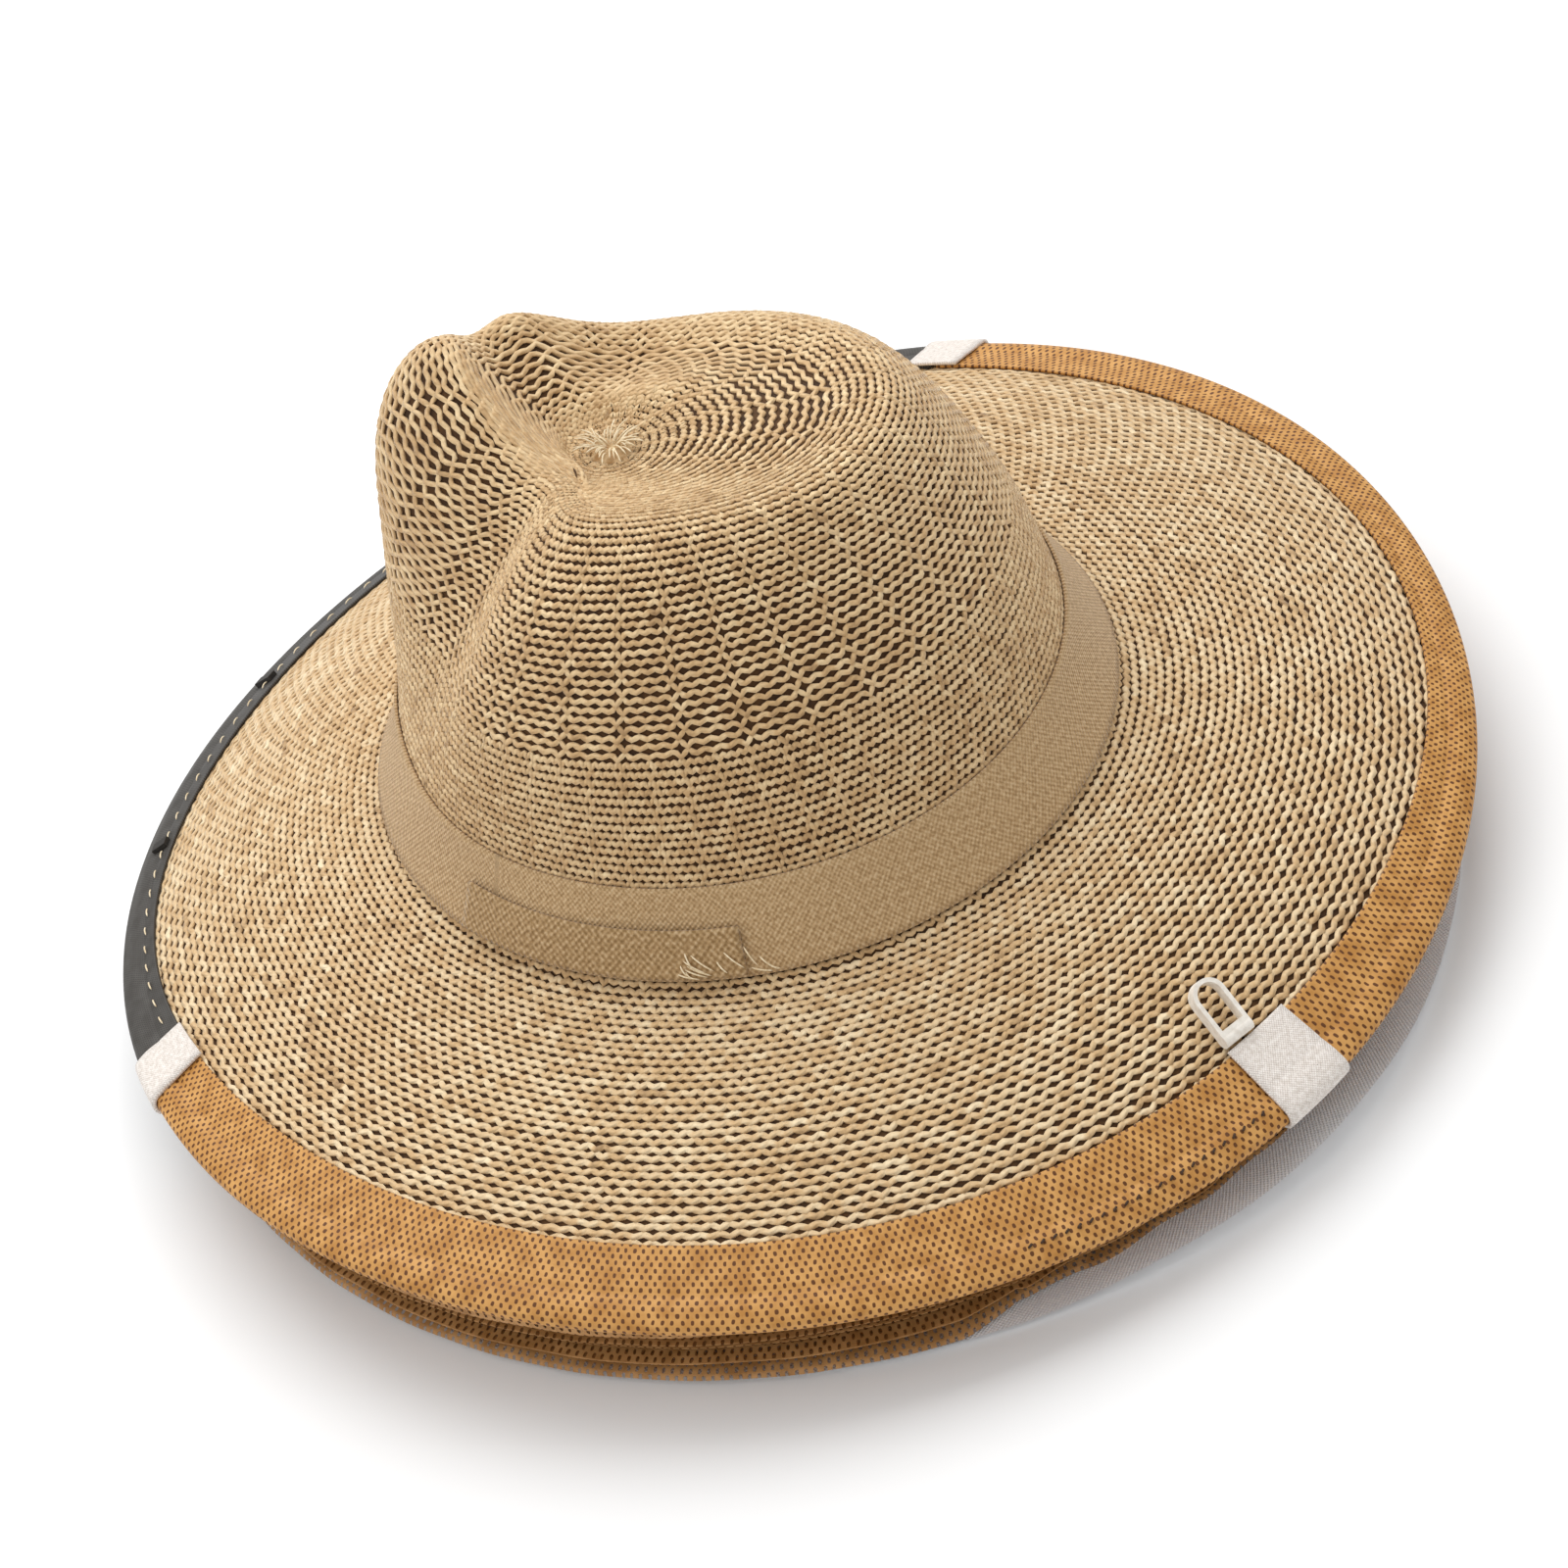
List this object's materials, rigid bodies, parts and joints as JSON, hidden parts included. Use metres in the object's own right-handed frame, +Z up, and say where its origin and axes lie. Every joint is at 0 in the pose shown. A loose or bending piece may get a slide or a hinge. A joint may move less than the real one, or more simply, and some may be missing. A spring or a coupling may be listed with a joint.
{
  "type": "beekeeping veil",
  "caption": "Wide-brimmed knitted straw hat with a dented crown, bound wire edge and a net veil gathered under the brim on a cotton neck collar.",
  "frame": {"origin": "on the table, under the middle of the hat seen from above", "axes": "+Z up, +Y towards the back of the hat where the hanging loop is, -Y towards the black front net, +X towards the wearer's left"},
  "size_m": [0.3612, 0.3524, 0.1562],
  "materials": {
    "straw": "paper straw knit",
    "band_tape": "fine woven tape",
    "sweat_tape": "woven tape",
    "spring_wire": "drawn",
    "black_net": "fine net",
    "brown_net": "diamond mesh",
    "cotton": "plain weave",
    "collar_cotton": "plain weave",
    "elastic_cord": "braided",
    "black_thread": "twisted thread"
  },
  "bodies": {
    "hat": {"hat_body": "straw", "hat_band": "band_tape", "band_join": "band_tape", "sweatband": "sweat_tape", "brim_wire": "spring_wire", "wire_joiner": "spring_wire", "front_binding": "black_net", "rear_binding_left": "brown_net", "rear_binding_right": "brown_net", "side_tab_left": "cotton", "side_tab_right": "cotton", "back_tab": "cotton", "front_tack_1": "black_thread", "front_tack_2": "black_thread", "front_tack_3": "black_thread", "front_tack_4": "black_thread", "front_net": "black_net", "rear_net_left": "brown_net", "rear_net_right": "brown_net"},
    "loop": {"hang_loop": "cotton"},
    "neck_collar": {"collar": "collar_cotton", "neck_elastic": "elastic_cord"}
  },
  "joints": [
    {"name": "veil_drop", "type": "slide", "parent": "hat", "child": "neck_collar", "axis": [0, 0, -1], "range_m": [0, 0.19], "deforming": ["front_net", "rear_net_left", "rear_net_right"]},
    {"name": "loop_swing", "type": "hinge", "parent": "hat", "child": "loop", "pos_m": [0.01569, 0.15539, 0.03277], "axis": [-0.9848, 0.1736, 0], "range_deg": [0, 95]}
  ]
}
